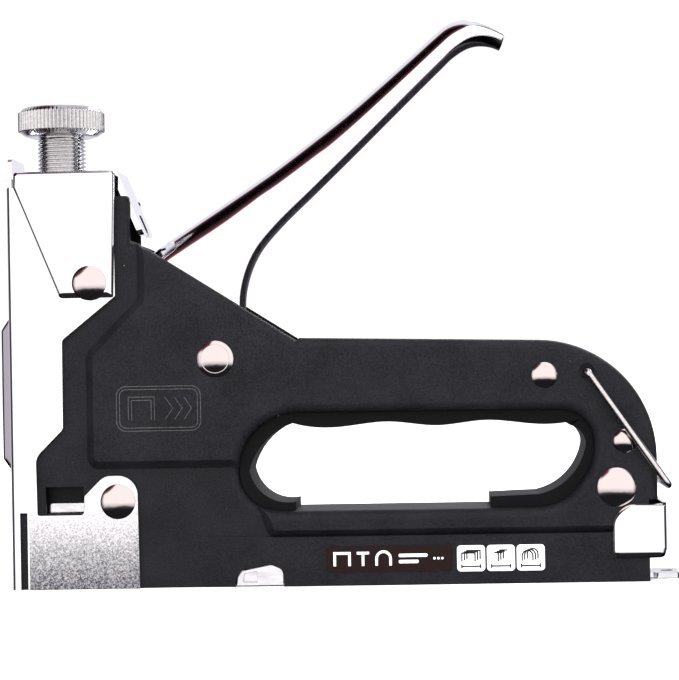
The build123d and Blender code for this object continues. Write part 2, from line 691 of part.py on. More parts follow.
def magazine_channel():
    """Floor and two walls between the shells, with a tail tongue, side lugs and raised front ears."""
    rear = BODY_LENGTH - 1.6
    outer = block((STAPLE_SLOT_REAR, rear), (-CHANNEL_HALF, CHANNEL_HALF), (0, CHANNEL_HEIGHT))
    inner = block(
        (0, rear + 1),
        (-CHANNEL_HALF + CHANNEL_SHEET, CHANNEL_HALF - CHANNEL_SHEET),
        (MAGAZINE_SHEET, CHANNEL_HEIGHT + 1),
    )
    channel = outer - inner
    ear_face = outline(
        (8.8, CHANNEL_HEIGHT - 4, 0),
        (22.6, CHANNEL_HEIGHT - 4, 0),
        (22.6, EAR_TOP, 1.0),
        (8.8, EAR_TOP, 1.0),
    )
    ear = slab(ear_face, -CHANNEL_HALF, -CHANNEL_HALF + CHANNEL_SHEET)
    channel += both_sides(ear)
    tongue_plan = outline(
        (rear - 3, -4.5, 0),
        (BODY_LENGTH + 1.6, -4.5, 0),
        (BODY_LENGTH + 2.4, -6.2, 0.6),
        (TAIL_TONGUE, -6.2, 2.0),
        (TAIL_TONGUE, 6.2, 2.0),
        (BODY_LENGTH + 2.4, 6.2, 0.6),
        (BODY_LENGTH + 1.6, 4.5, 0),
        (rear - 3, 4.5, 0),
    )
    tongue = extrude(tongue_plan, MAGAZINE_SHEET, dir=(0, 0, 1))
    tongue -= upright(TAIL_TONGUE - 3.0, 1.6, -1, 3)
    channel += tongue
    lug_face = notch_face(-0.3) & Pos(61, 3.2) * Rectangle(20, 6.0)
    lug = slab(lug_face, -FRONT_HALF - 0.2, -CHANNEL_HALF + 0.5)
    lug -= slab(outline((56.7, 0.9, 0.3), (60.3, 0.9, 0.3), (60.3, 3.7, 0.3), (57.1, 3.1, 0.3)), -12, -9.0)
    channel += both_sides(lug)
    return channel


def staple_rail():
    """Open-topped inner channel that the staples straddle."""
    bottom = MAGAZINE_SHEET + FIT_GAP
    outer = block((STAPLE_SLOT_REAR, BODY_LENGTH - 10), (-RAIL_HALF, RAIL_HALF), (bottom, RAIL_TOP))
    inside = RAIL_HALF - RAIL_WALL
    return outer - block((0, 200), (-inside, inside), (bottom + RAIL_WALL, RAIL_TOP + 1))


PUSHER_FRONT = STAPLE_SLOT_REAR + 0.2
PUSHER_LENGTH = 20.0
ROD_NUT = (PUSHER_FRONT + 0.3, PUSHER_FRONT + 3.3)
PUSHER_STOP = 16.0
PLUG_FRONT = BODY_LENGTH - 9.0


def pusher():
    """Saddle over the rail with a block that slides on the rod."""
    crown = RAIL_TOP + 0.15
    outside = CHANNEL_HALF - CHANNEL_SHEET - FREE_GAP
    rear = PUSHER_FRONT + PUSHER_LENGTH
    saddle = block((PUSHER_FRONT, rear), (-outside, outside), (3.5, crown + 1.2))
    rail_room = RAIL_HALF + 0.15
    saddle -= block((0, 40), (-rail_room, rail_room), (0, crown))
    inside = RAIL_HALF - RAIL_WALL - 0.2
    slider = block((ROD_NUT[1] + 0.1, PUSHER_STOP), (-inside, inside), (5.0, crown + 0.6))
    body = saddle + slider
    return body - Pos(10, 0, ROD_HEIGHT) * Rot(0, 90, 0) * Cylinder(ROD_RADIUS + RUN_GAP, 60)


def along_rod(radius, low, high):
    """A cylinder on the rod's axis."""
    return Pos((low + high) / 2, 0, ROD_HEIGHT) * Rot(0, 90, 0) * Cylinder(radius, high - low)


LATCH_BACK = BODY_LENGTH + 4.3


def pusher_rod():
    rod = along_rod(ROD_RADIUS, ROD_NUT[0], LATCH_BACK)
    button = along_rod(ROD_RADIUS + 0.8, LATCH_BACK, LATCH_BACK + 0.5)
    return rod + chamfer(button.edges().filter_by(lambda e: e.center().X > LATCH_BACK + 0.4), 0.35)


def rod_nut():
    nut = along_rod(ROD_RADIUS + 1.2, *ROD_NUT)
    return nut - along_rod(ROD_RADIUS + 0.02, 0, 40)


def rear_plug():
    """Closes the tail of the magazine and backs the feed spring."""
    half = CHANNEL_HALF - CHANNEL_SHEET - FREE_GAP
    plug = block(
        (PLUG_FRONT, BODY_LENGTH - 1.6), (-half, half), (MAGAZINE_SHEET + 0.2, CHANNEL_HEIGHT - 0.4)
    )
    return plug - along_rod(ROD_RADIUS + 0.02, 100, 200)


def feed_spring():
    mean = ROD_RADIUS + 0.35 + FEED_SPRING_WIRE / 2
    start = PUSHER_STOP + 0.1
    spring = coil(mean, FEED_SPRING_WIRE, FEED_SPRING_TURNS, PLUG_FRONT - 0.1 - start)
    return Pos(start, 0, ROD_HEIGHT) * Rot(0, 90, 0) * spring


def rear_latch():
    """U-shaped clip round the tail that pulls the pusher rod out."""
    inner = PANEL_HALF + 0.2
    outer = inner + LATCH_SHEET
    arm_side = outline(
        (BODY_LENGTH - 9.2, 5.5, 2.0),
        (BODY_LENGTH + 3.6, 5.5, 1.6),
        (LATCH_BACK, 8.0, 0.4),
        (LATCH_BACK, 19.1, 0),
        (BODY_LENGTH - 9.2, 19.1, 6.0),
    )
    clip = slab(arm_side, -outer, outer)
    corners = clip.edges().filter_by(Axis.Z).filter_by(lambda e: e.center().X > LATCH_BACK - 0.1)
    clip = fillet(corners, 1.9)
    clip -= block((0, LATCH_BACK - LATCH_SHEET), (-inner, inner), (0, 30))
    return clip - along_rod(ROD_RADIUS + 0.02, 100, 200)


# ------------------------------------------------------------------ bail and labels

def bail():
    """Bent wire: two inward pins, two legs and a crossbar."""
    turn = math.radians(BAIL_REST)
    end = (BAIL_PIVOT[0] + BAIL_LENGTH * math.cos(turn), BAIL_PIVOT[1] + BAIL_LENGTH * math.sin(turn))
    pin_end = PANEL_HALF - SHELL_WALL - 0.6
    path = FilletPolyline(
        (BAIL_PIVOT[0], -pin_end, BAIL_PIVOT[1]),
        (BAIL_PIVOT[0], -BAIL_HALF, BAIL_PIVOT[1]),
        (end[0], -BAIL_HALF, end[1]),
        (end[0], BAIL_HALF, end[1]),
        (BAIL_PIVOT[0], BAIL_HALF, BAIL_PIVOT[1]),
        (BAIL_PIVOT[0], pin_end, BAIL_PIVOT[1]),
        radius=1.1,
    )
    section = Plane(origin=path @ 0, z_dir=path % 0) * Circle(BAIL_WIRE)
    return sweep(section, path=path)


LABEL_THICKNESS = 0.25
LABEL_LOW = 3.3
LABEL_HIGH = 9.6
LABEL_START = 77.4
LABEL_LENGTH = 30.6
SIZE_PLATE = 6.8
SIZE_PITCH = 7.25


def name_label():
    middle = (LABEL_START + LABEL_LENGTH / 2, (LABEL_LOW + LABEL_HIGH) / 2)
    face = Pos(*middle) * RectangleRounded(LABEL_LENGTH, LABEL_HIGH - LABEL_LOW, 0.8)
    return slab(face, -STRIP_HALF - LABEL_THICKNESS, -STRIP_HALF)


def size_labels():
    plates = []
    for index in range(3):
        middle = LABEL_START + LABEL_LENGTH + 1.2 + SIZE_PLATE / 2 + index * SIZE_PITCH
        face = Pos(middle, (LABEL_LOW + LABEL_HIGH) / 2 - 0.2) * RectangleRounded(SIZE_PLATE, 6.3, 0.9)
        plates.append(slab(face, -STRIP_HALF - LABEL_THICKNESS, -STRIP_HALF))
    return plates


# ------------------------------------------------------------------ write the pieces

def main():
    os.makedirs("parts", exist_ok=True)
    save("left_body_shell", body_shell(PANEL_HALF))
    save("right_body_shell", mirror(body_shell(1.0), about=Plane.XZ))
    save("grip_liner", grip_liner())
    save("nose_cover", nose_cover())
    save("head_cap", head_cap())
    save("cap_nut", cap_nut())
    save("adjuster_screw", adjuster_screw())
    save("spring_seat", spring_seat())
    save("main_spring", main_spring())
    save("plunger", plunger())
    save("striker_blade", striker_blade())
    save("front_guide_plate", front_guide_plate())
    save("rail_keeper", rail_keeper())
    save("plunger_bumper", plunger_bumper())
    save("lever", lever())
    save("lifter", lifter())
    save("lifter_rivets", *lifter_rivets())
    save("lifter_pin", lifter_pin())
    save("lifter_roller", lifter_roller())
    save("head_rivet", rivet(HEAD_RIVET, 4.25, 1.5, CAP_HALF))
    save("nose_rivet", rivet(NOSE_RIVET, 4.3, 1.5, NOSE_HALF))
    save("lever_pivot_pin", rivet(PIVOT, 4.5, 1.5, PANEL_HALF, PIVOT_RADIUS))
    save("rear_top_rivet", rivet(REAR_TOP_RIVET, 3.2, 1.2, PANEL_HALF))
    save("rear_mid_rivet", rivet(REAR_MID_RIVET, 2.9, 1.2, PANEL_HALF))
    save("rear_low_rivet", rivet(REAR_LOW_RIVET, 4.8, 1.7, PANEL_HALF))
    save("spacer_tubes", *spacer_tubes())
    save("magazine_channel", magazine_channel())
    save("staple_rail", staple_rail())
    save("pusher", pusher())
    save("pusher_rod", pusher_rod())
    save("rod_nut", rod_nut())
    save("rear_plug", rear_plug())
    save("feed_spring", feed_spring())
    save("rear_latch", rear_latch())
    save("locking_bail", bail())
    save("name_label", name_label())
    save("size_labels", *size_labels())


main()
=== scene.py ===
"""Looks of the hand staple gun: materials, fine pieces, studio light and camera."""
import math

import bmesh
import bpy
from mathutils import Matrix, Vector

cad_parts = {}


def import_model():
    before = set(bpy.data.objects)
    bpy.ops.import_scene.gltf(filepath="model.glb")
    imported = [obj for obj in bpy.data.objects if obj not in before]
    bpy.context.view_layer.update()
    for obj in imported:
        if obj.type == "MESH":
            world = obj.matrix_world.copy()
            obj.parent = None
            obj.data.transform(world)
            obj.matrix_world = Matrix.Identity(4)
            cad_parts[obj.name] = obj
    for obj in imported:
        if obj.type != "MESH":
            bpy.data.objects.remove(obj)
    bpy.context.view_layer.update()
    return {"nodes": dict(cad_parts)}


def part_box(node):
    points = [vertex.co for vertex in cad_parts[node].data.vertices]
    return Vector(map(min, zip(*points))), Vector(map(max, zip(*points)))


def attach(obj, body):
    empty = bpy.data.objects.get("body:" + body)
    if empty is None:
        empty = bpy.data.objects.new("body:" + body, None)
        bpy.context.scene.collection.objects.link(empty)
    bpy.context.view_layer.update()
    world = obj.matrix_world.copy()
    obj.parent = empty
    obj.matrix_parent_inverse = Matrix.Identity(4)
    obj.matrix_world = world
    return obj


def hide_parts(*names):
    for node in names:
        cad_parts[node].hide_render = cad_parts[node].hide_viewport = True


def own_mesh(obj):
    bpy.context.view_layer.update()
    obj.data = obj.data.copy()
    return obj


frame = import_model()
NODES = frame["nodes"]
MM = 0.001

# ------------------------------------------------------------------ places read from the frame

TONGUE_LENGTH = 164.3        # nose face to the tail tongue's end, mm
NOSE_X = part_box("magazine_channel")[1].x - TONGUE_LENGTH * MM
LABEL_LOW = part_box("name_label")[0]
PANEL_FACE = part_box("left_body_shell")[0].y
SCREW_LOW, SCREW_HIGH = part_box("adjuster_screw")
SEAT_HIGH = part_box("spring_seat")[1]
SCREW_X = (SCREW_LOW.x + SCREW_HIGH.x) / 2


def gun(x, y, z):
    """A point in metres from millimetres along, across and up, counted from the nose face."""
    return Vector((NOSE_X + x * MM, y * MM, z * MM))


# ------------------------------------------------------------------ materials

def shader_setup(name):
    """A new node material: its tree, its main shader and its object coordinates."""
    material = bpy.data.materials.new(name)
    material.use_nodes = True
    tree = material.node_tree
    shader = tree.nodes["Principled BSDF"]
    coords = tree.nodes.new("ShaderNodeTexCoord")
    return material, tree, shader, coords.outputs["Object"]


def noise(tree, coords, scale, detail=2.0, rough=0.5, stretch=None):
    """Noise with `scale` grains per metre, drawn out along an axis if stretch is given."""
    node = tree.nodes.new("ShaderNodeTexNoise")
    node.inputs["Scale"].default_value = scale
    node.inputs["Detail"].default_value = detail
    node.inputs["Roughness"].default_value = rough
    if stretch:
        mapping = tree.nodes.new("ShaderNodeMapping")
        mapping.inputs["Scale"].default_value = stretch
        tree.links.new(coords, mapping.inputs["Vector"])
        coords = mapping.outputs["Vector"]
    tree.links.new(coords, node.inputs["Vector"])
    return node.outputs["Fac"]


def ramp(tree, value, stops):
    """A colour ramp from (place, grey or colour) stops."""
    node = tree.nodes.new("ShaderNodeValToRGB")
    elements = node.color_ramp.elements
    while len(elements) < len(stops):
        elements.new(0.5)
    for element, (place, colour) in zip(elements, stops):
        element.position = place
        if not isinstance(colour, tuple):
            colour = (colour, colour, colour)
        element.color = (*colour, 1.0)
    tree.links.new(value, node.inputs["Fac"])
    return node.outputs["Color"]


def math_node(tree, operation, first, second):
    node = tree.nodes.new("ShaderNodeMath")
    node.operation = operation
    for socket, value in zip(node.inputs, (first, second)):
        if isinstance(value, (int, float)):
            socket.default_value = value
        else:
            tree.links.new(value, socket)
    return node.outputs[0]


def add_bump(tree, shader, height, strength, depth, rounding=0.0):
    """Bump from a height in units of `depth` metres, over edges rounded by `rounding` metres."""
    bump = tree.nodes.new("ShaderNodeBump")
    bump.inputs["Strength"].default_value = strength
    bump.inputs["Distance"].default_value = depth
    tree.links.new(height, bump.inputs["Height"])
    if rounding:
        bevel = tree.nodes.new("ShaderNodeBevel")
        bevel.samples = 6
        bevel.inputs["Radius"].default_value = rounding
        tree.links.new(bevel.outputs["Normal"], bump.inputs["Normal"])
    tree.links.new(bump.outputs["Normal"], shader.inputs["Normal"])


def powder_coat(name, dark, light, grain=2600.0, rough=(0.5, 0.66)):
    """Black powder coat: fine orange peel, a faint mottle and a few pale dust specks."""
    material, tree, shader, coords = shader_setup(name)
    fine = noise(tree, coords, grain, 3.0, 0.6)
    broad = noise(tree, coords, 90.0, 3.0)
    fine_share = math_node(tree, "MULTIPLY", fine, 0.75)
    broad_share = math_node(tree, "MULTIPLY", broad, 0.25)
    tone = math_node(tree, "ADD", fine_share, broad_share)
    base = ramp(tree, tone, [(0.38, dark), (0.62, light)])
    specks = tree.nodes.new("ShaderNodeTexVoronoi")
    specks.inputs["Scale"].default_value = 330.0
    tree.links.new(coords, specks.inputs["Vector"])
    speck = ramp(tree, specks.outputs["Distance"], [(0.035, 1.0), (0.055, 0.0)])
    rare = ramp(tree, noise(tree, coords, 160.0, 1.0), [(0.60, 0.0), (0.64, 1.0)])
    mix = tree.nodes.new("ShaderNodeMix")
    mix.data_type = "RGBA"
    mask = math_node(tree, "MULTIPLY", speck, rare)
    tree.links.new(math_node(tree, "MULTIPLY", mask, 0.35), mix.inputs["Factor"])
    tree.links.new(base, mix.inputs["A"])
    mix.inputs["B"].default_value = (0.35, 0.34, 0.36, 1.0)
    tree.links.new(mix.outputs["Result"], shader.inputs["Base Color"])
    tree.links.new(ramp(tree, fine, [(0.3, rough[0]), (0.7, rough[1])]), shader.inputs["Roughness"])
    shader.inputs["Specular IOR Level"].default_value = 0.20
    add_bump(tree, shader, fine, 0.6, 0.0001, 0.0003)
    return material


def polished(name, colour, rough, waves=0.00001, rounding=0.00025, scale=60.0):
    """Bright metal with faint waves in the sheet and fine wipe marks in its gloss."""
    material, tree, shader, coords = shader_setup(name)
    shader.inputs["Base Color"].default_value = (*colour, 1.0)
    shader.inputs["Metallic"].default_value = 1.0
    wipe = noise(tree, coords, 900.0, 3.0, 0.6, (0.15, 1.0, 1.0))
    gloss = ramp(tree, wipe, [(0.35, rough * 0.7), (0.7, rough * 1.5)])
    tree.links.new(gloss, shader.inputs["Roughness"])
    add_bump(tree, shader, noise(tree, coords, scale, 1.0), 0.5, waves, rounding)
    return material


def machined(name, colour, rough, grain=2200.0, stretch=(1.0, 1.0, 0.05), bump=0.00002,
             rounding=0.00015):
    """Turned or ground steel: fine lines along one axis and slightly uneven tone."""
    material, tree, shader, coords = shader_setup(name)
    lines = noise(tree, coords, grain, 3.0, 0.6, stretch)
    low = tuple(0.72 * c for c in colour)
    tree.links.new(ramp(tree, lines, [(0.32, low), (0.68, colour)]), shader.inputs["Base Color"])
    shader.inputs["Metallic"].default_value = 1.0
    gloss = ramp(tree, lines, [(0.3, rough * 0.8), (0.7, rough * 1.3)])
    tree.links.new(gloss, shader.inputs["Roughness"])
    add_bump(tree, shader, lines, 0.4, bump, rounding)
    return material


def moulded(name, colour, rough, grain=1500.0, bump=0.00004):
    """Moulded plastic or rubber with a fine spark-eroded grain."""
    material, tree, shader, coords = shader_setup(name)
    fine = noise(tree, coords, grain, 4.0, 0.65)
    low = tuple(0.75 * c for c in colour)
    tree.links.new(ramp(tree, fine, [(0.3, low), (0.7, colour)]), shader.inputs["Base Color"])
    gloss = ramp(tree, fine, [(0.3, rough - 0.06), (0.7, rough + 0.08)])
    tree.links.new(gloss, shader.inputs["Roughness"])
    shader.inputs["Specular IOR Level"].default_value = 0.10
    add_bump(tree, shader, fine, 0.4, bump)
    return material


def printed(name, colour, rough):
    """Printed film: nearly even colour with a trace of ink mottle."""
    material, tree, shader, coords = shader_setup(name)
    ink = noise(tree, coords, 1200.0, 2.0)
    low = tuple(0.9 * c for c in colour)
    tree.links.new(ramp(tree, ink, [(0.3, low), (0.7, colour)]), shader.inputs["Base Color"])
    shader.inputs["Roughness"].default_value = rough
    shader.inputs["Specular IOR Level"].default_value = 0.12
    add_bump(tree, shader, ink, 0.1, 0.00001)
    return material


FOOT_TOP = 17.6              # the blasted foot of the nose cover, in gun mm
FOOT_FRONT = 4.6
EAR_FRONT = 17.6             # and the ear round the nose rivet, behind this and below 30
EAR_TOP = 30.0
RIB_EDGE = -0.15             # the rib stands ahead of this and is coloured darker as painted shade


def nose_chrome():
    """Chrome that turns to a fine blasted grain on the foot of the nose cover; the foot darkens
    towards the bottom as a painted reflection, and the rib gets a painted shade.
    """
    material, tree, shader, coords = shader_setup("nose_chrome")
    axes = tree.nodes.new("ShaderNodeSeparateXYZ")
    tree.links.new(coords, axes.inputs[0])
    foot_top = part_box("nose_cover")[0].z + FOOT_TOP * MM
    slit = NOSE_X + FOOT_FRONT * MM
    below = math_node(tree, "LESS_THAN", axes.outputs["Z"], foot_top)
    behind = math_node(tree, "GREATER_THAN", axes.outputs["X"], slit)
    ear = math_node(tree, "GREATER_THAN", axes.outputs["X"], NOSE_X + EAR_FRONT * MM)
    ear_low = math_node(tree, "LESS_THAN", axes.outputs["Z"], EAR_TOP * MM)
    foot = math_node(tree, "MULTIPLY", below, behind)
    foot = math_node(tree, "MAXIMUM", foot, math_node(tree, "MULTIPLY", ear, ear_low))
    grain = noise(tree, coords, 3000.0, 2.0, 0.8)
    shader.inputs["Metallic"].default_value = 1.0
    # painted reflection: the foot's colour runs from near black at the bottom to near white 30 mm up,
    # standing in for dark ground reflected low on the foot
    painted_reflection_fall = ramp(tree, math_node(tree, "MULTIPLY", axes.outputs["Z"], 1 / 0.030),
                [(0.02, 0.16), (0.30, 0.42), (0.56, 0.80), (0.75, 0.95)])
    mottle = math_node(tree, "MULTIPLY_ADD", math_node(tree, "SUBTRACT", grain, 0.5), 2.1)
    tree.links.new(painted_reflection_fall, mottle.node.inputs[2])
    tone = ramp(tree, mottle, [(0.0, (0.05, 0.05, 0.07)), (0.9, (0.93, 0.93, 0.96))])
    mix = tree.nodes.new("ShaderNodeMix")
    mix.data_type = "RGBA"
    tree.links.new(foot, mix.inputs["Factor"])
    # painted shade: the rib ahead of RIB_EDGE is coloured a darker purple-grey instead of bright
    # chrome
    painted_rib_shade = math_node(tree, "LESS_THAN", axes.outputs["X"], NOSE_X + RIB_EDGE * MM)
    plain = ramp(tree, painted_rib_shade, [(0.0, (0.90, 0.90, 0.92)), (1.0, (0.30, 0.28, 0.33))])
    tree.links.new(plain, mix.inputs["A"])
    tree.links.new(tone, mix.inputs["B"])
    tree.links.new(mix.outputs["Result"], shader.inputs["Base Color"])
    rough = math_node(tree, "ADD", math_node(tree, "MULTIPLY", foot, 0.22), 0.07)
    tree.links.new(rough, shader.inputs["Roughness"])
    height = math_node(tree, "MULTIPLY", foot, grain)
    add_bump(tree, shader, height, 0.6, 0.00005, 0.0001)
    return material


COAT = powder_coat("black_powder_coat", (0.0020, 0.0020, 0.0034), (0.0105, 0.0105, 0.0140))
CHROME = polished("bright_chrome", (0.90, 0.90, 0.92), 0.06, 0.00001, 0.0001)
DOMES = polished("rivet_chrome", (0.66, 0.60, 0.595), 0.10, 0.00008, 0.0001, 420.0)
PLATED = machined("nickelled_steel", (0.66, 0.65, 0.66), 0.14, 1800.0, (1.0, 1.0, 1.0), 0.00001)
STEEL = machined("plain_steel", (0.48, 0.47, 0.46), 0.30)
HARD = machined("ground_blade_steel", (0.36, 0.36, 0.38), 0.26, 2400.0, (0.04, 1.0, 1.0))
DARK = machined("blackened_steel", (0.02, 0.02, 0.022), 0.45)
WIRE = machined("spring_wire", (0.72, 0.71, 0.71), 0.16, 1800.0, (1.0, 1.0, 1.0), 0.000008)
ZINC = machined("zinc_plated_sheet", (0.74, 0.75, 0.78), 0.11, 500.0, (0.3, 1.0, 1.0))
# painted shade: the lever's inner faces get this dark grey steel while its outer faces are chrome
LEVER_INSIDE_SHADE = machined("lever_inside_painted_shade", (0.11, 0.105, 0.12), 0.32)
LINER = moulded("grip_plastic", (0.0030, 0.0030, 0.0036), 0.60)
RUBBER = moulded("bumper_rubber", (0.02, 0.02, 0.02), 0.7)
BROWN = printed("label_brown_film", (0.0095, 0.0040, 0.0032), 0.40)
WHITE = printed("label_white_film", (0.90, 0.90, 0.90), 0.42)
BLACK_INK = printed("label_black_ink", (0.012, 0.012, 0.012), 0.45)
NOSE = nose_chrome()

FINISHES = {
    "left_body_shell": COAT, "right_body_shell": COAT, "grip_liner": LINER, "nose_cover": NOSE,
    "head_cap": CHROME, "cap_nut": STEEL, "adjuster_screw": PLATED, "spring_seat": STEEL,
    "main_spring": WIRE, "plunger": STEEL, "striker_blade": HARD, "front_guide_plate": HARD,
    "rail_keeper": DARK, "plunger_bumper": RUBBER, "lever": CHROME, "lifter": STEEL,
    "lifter_rivets": STEEL, "lifter_pin": STEEL, "lifter_roller": STEEL, "head_rivet": DOMES,
    "nose_rivet": DOMES, "lever_pivot_pin": DOMES, "rear_top_rivet": DOMES, "rear_mid_rivet": DOMES,
    "rear_low_rivet": DOMES, "spacer_tubes": STEEL, "magazine_channel": ZINC, "staple_rail": ZINC,
    "pusher": STEEL, "pusher_rod": STEEL, "rod_nut": STEEL, "rear_plug": LINER, "feed_spring": WIRE,
    "rear_latch": CHROME, "locking_bail": WIRE, "name_label": BROWN, "size_labels": WHITE,
}
for node_name, finish in FINISHES.items():
    NODES[node_name].data.materials.clear()
    NODES[node_name].data.materials.append(finish)


# ------------------------------------------------------------------ building pieces

def piece(name, mesh, material, body):
    """Link a mesh as a named piece that rides on a CAD body."""
    obj = bpy.data.objects.new(name, mesh)
    bpy.context.scene.collection.objects.link(obj)
    mesh.materials.clear()
    mesh.materials.append(material)
    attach(obj, body)
    return obj


def lathe_rings(rings, columns):
    """A closed mesh from rings; each ring is (height, radius at an angle)."""
    bm = bmesh.new()
    levels = []
    for height, radius_at in rings:
        level = []
        for index in range(columns):
            angle = 2 * math.pi * index / columns
            radius = radius_at(angle) if callable(radius_at) else radius_at
            level.append(bm.verts.new((radius * math.cos(angle), radius * math.sin(angle), height)))
        levels.append(level)
    for low, high in zip(levels, levels[1:]):
        for index in range(columns):
            after = (index + 1) % columns
            bm.faces.new((low[index], low[after], high[after], high[index]))
    bm.faces.new(list(reversed(levels[0])))
    bm.faces.new(levels[-1])
    return bm


def finish_mesh(name, bm, place=None, smooth_angle=35.0):
    """Turn a bmesh into a mesh, smooth below the given angle."""
    if place is not None:
        bmesh.ops.translate(bm, verts=bm.verts, vec=place)
    bmesh.ops.recalc_face_normals(bm, faces=bm.faces)
    for face in bm.faces:
        face.smooth = True
    for edge in bm.edges:
        if len(edge.link_faces) == 2 and edge.calc_face_angle() > math.radians(smooth_angle):
            edge.smooth = False
    mesh = bpy.data.meshes.new(name)
    bm.to_mesh(mesh)
    bm.free()
    return mesh


# ------------------------------------------------------------------ power adjusting knob

KNURL_TEETH = 64
KNURL_DEPTH = 0.45 * MM
KNOB_EDGE = 1.3 * MM
KNOB_HEIGHT = 7.4 * MM
THREAD_PITCH = 1.0 * MM
THREAD_DEPTH = 0.55 * MM
THREAD_RADIUS = 5.95 * MM
THREAD_START = 0.1 * MM      # gap between the spring seat and the screw's end
PITCH_ROWS = 14              # rows of faces to one turn of the thread
NECK_HEIGHT = 0.9 * MM


def knurled(radius, depth):
    """Radius of a straight knurl with rounded crests."""
    def at(angle):
        wave = 0.5 + 0.5 * math.cos(KNURL_TEETH * angle)
        return radius - depth * (1 - wave ** 0.7)
    return at


def knob_mesh():
    radius = SCREW_HIGH.x - SCREW_X
    bottom = SCREW_HIGH.z - KNOB_HEIGHT
    rings = [
        (bottom, THREAD_RADIUS),
        (bottom, radius - 2.6 * MM),
        (bottom + 0.35 * MM, radius - 1.5 * MM),
        (bottom + KNOB_EDGE - 0.1 * MM, radius - 0.45 * MM),
        (bottom + KNOB_EDGE + 0.1 * MM, knurled(radius, KNURL_DEPTH * 0.8)),
        (bottom + KNOB_EDGE + 0.4 * MM, knurled(radius, KNURL_DEPTH)),
        (SCREW_HIGH.z - KNOB_EDGE - 0.4 * MM, knurled(radius, KNURL_DEPTH)),
        (SCREW_HIGH.z - KNOB_EDGE - 0.1 * MM, knurled(radius, KNURL_DEPTH * 0.8)),
        (SCREW_HIGH.z - KNOB_EDGE + 0.1 * MM, radius - 0.45 * MM),
        (SCREW_HIGH.z - 0.45 * MM, radius - 1.0 * MM),
        (SCREW_HIGH.z - 0.12 * MM, radius - 1.9 * MM),
        (SCREW_HIGH.z, radius - 3.2 * MM),
        (SCREW_HIGH.z, 3.4 * MM),
        (SCREW_HIGH.z - 0.5 * MM, 3.0 * MM),
        (SCREW_HIGH.z - 0.5 * MM, 0.4 * MM),
    ]
    bm = lathe_rings(rings, KNURL_TEETH * 8)
    return finish_mesh("power_knob", bm, (SCREW_X, 0, 0), 50.0)


def thread_mesh():
    """Screw shaft with a real helical thread."""
    top = SCREW_HIGH.z - KNOB_HEIGHT
    neck = top - NECK_HEIGHT
    count = int((neck - SEAT_HIGH.z) / THREAD_PITCH * PITCH_ROWS)

    def helical(height):
        def at(angle):
            phase = (height / THREAD_PITCH - angle / (2 * math.pi)) % 1.0
            ridge = 1 - abs(2 * phase - 1)
            ridge = min(max((ridge - 0.25) / 0.40, 0.0), 1.0)
            return THREAD_RADIUS - THREAD_DEPTH * (1 - ridge)
        return at

    start = SEAT_HIGH.z + THREAD_START
    rings = [(start, THREAD_RADIUS - THREAD_DEPTH)]
    for index in range(1, count):
        height = start + index * THREAD_PITCH / PITCH_ROWS
        rings.append((height, helical(height)))
    rings.append((neck, THREAD_RADIUS - THREAD_DEPTH))
    rings.append((neck + 0.1 * MM, THREAD_RADIUS - 0.25 * MM))
    rings.append((top, THREAD_RADIUS - 0.25 * MM))
    bm = lathe_rings(rings, 72)
    return finish_mesh("threaded_shaft", bm, (SCREW_X, 0, 0), 80.0)


knob = piece("power_knob", knob_mesh(), PLATED, "knob")
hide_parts("adjuster_screw")
piece("threaded_shaft", thread_mesh(), PLATED, "knob")


# ------------------------------------------------------------------ squeeze lever

LEVER_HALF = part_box("lever")[1].y
LEVER_CORNER = 8.6 * MM
LEVER_SHEET = 1.2 * MM
CORNER_SHARE = 0.8           # most of the flange's height that the rolled corner may take
LINE_STEPS = 6               # rows between two points of the lines below
WEB_STEPS = 4                # faces across half the web, round a corner and down a flange
ROLL_STEPS = 14
SIDE_STEPS = 6
LIP_ROUNDING = 0.3 * MM

# The web's line and the flange's lower line below it, in gun mm, from the head to the tip.
WEB_LINE = [(35.2, 82.6), (38.4, 84.9), (42.4, 87.5), (46.5, 90.2), (51.0, 93.1), (56.0, 96.4),
            (61.0, 99.7), (66.0, 103.1), (75.0, 109.7), (84.0, 116.6), (92.0, 123.3), (100.0, 130.2),
            (105.0, 134.6), (109.0, 137.7), (113.0, 138.9), (117.0, 138.6), (120.6, 137.0),
            (123.7, 135.2)]
FLANGE_LINE = [(37.2, 73.0), (42.0, 58.0), (49.0, 48.5), (57.0, 52.5), (57.0, 63.0), (57.2, 72.5),
               (60.2, 81.2), (66.0, 88.5), (76.0, 98.0), (86.5, 108.0), (95.5, 116.7), (103.5, 124.4),
               (107.5, 128.2), (110.5, 131.0), (114.0, 133.2), (117.0, 133.9), (120.0, 133.6),
               (122.3, 132.7)]


def smooth_line(points, steps):
    """Catmull-Rom curve through the points."""
    result = []
    for index in range(len(points) - 1):
        a = Vector(points[max(index - 1, 0)])
        b = Vector(points[index])
        c = Vector(points[index + 1])
        d = Vector(points[min(index + 2, len(points) - 1)])
        for step in range(steps):
            t = step / steps
            result.append(0.5 * (2 * b + (c - a) * t + (2 * a - 5 * b + 4 * c - d) * t ** 2
                                 + (3 * b - a - 3 * c + d) * t ** 3))
    result.append(Vector(points[-1]))
    return result


